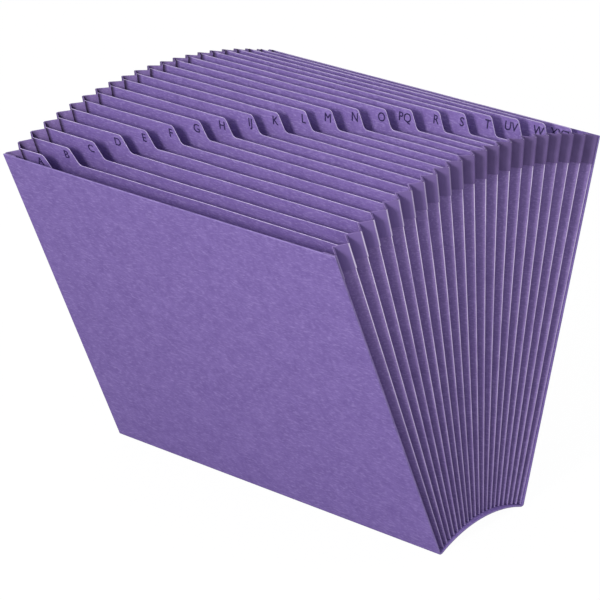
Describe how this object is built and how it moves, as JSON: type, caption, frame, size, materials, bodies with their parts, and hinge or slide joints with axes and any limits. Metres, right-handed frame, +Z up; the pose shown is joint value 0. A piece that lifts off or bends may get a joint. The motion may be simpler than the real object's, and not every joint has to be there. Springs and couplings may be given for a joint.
{
  "type": "indexed expanding file",
  "caption": "Open-top accordion file of purple paperboard, fanned open on its bottom folds, with pleated sides and lettered index dividers for filing papers.",
  "frame": {"origin": "under the middle of the file, on the surface that its two bottom folds stand on", "axes": "+X to the right along the covers' width as seen from the front, +Y from the front cover to the back cover, +Z up"},
  "size_m": [0.3048, 0.2578, 0.2643],
  "materials": {
    "cover_board": "matte fibrous paperboard",
    "gusset_paper": "matte paper with worn folds",
    "edge_tape": "matte paper-cloth tape",
    "divider_paper": "matte heavy paper"
  },
  "bodies": {
    "root": {"wraparound_cover": "cover_board", "gusset_left": "gusset_paper", "gusset_right": "gusset_paper", "edge_tape_left": "edge_tape", "edge_tape_right": "edge_tape", "divider_A": "divider_paper", "divider_B": "divider_paper", "divider_C": "divider_paper", "divider_D": "divider_paper", "divider_E": "divider_paper", "divider_F": "divider_paper", "divider_G": "divider_paper", "divider_H": "divider_paper", "divider_IJ": "divider_paper", "divider_K": "divider_paper", "divider_L": "divider_paper", "divider_M": "divider_paper", "divider_N": "divider_paper", "divider_O": "divider_paper", "divider_PQ": "divider_paper", "divider_R": "divider_paper", "divider_S": "divider_paper", "divider_T": "divider_paper", "divider_UV": "divider_paper", "divider_W": "divider_paper", "divider_XYZ": "divider_paper"}
  },
  "joints": []
}
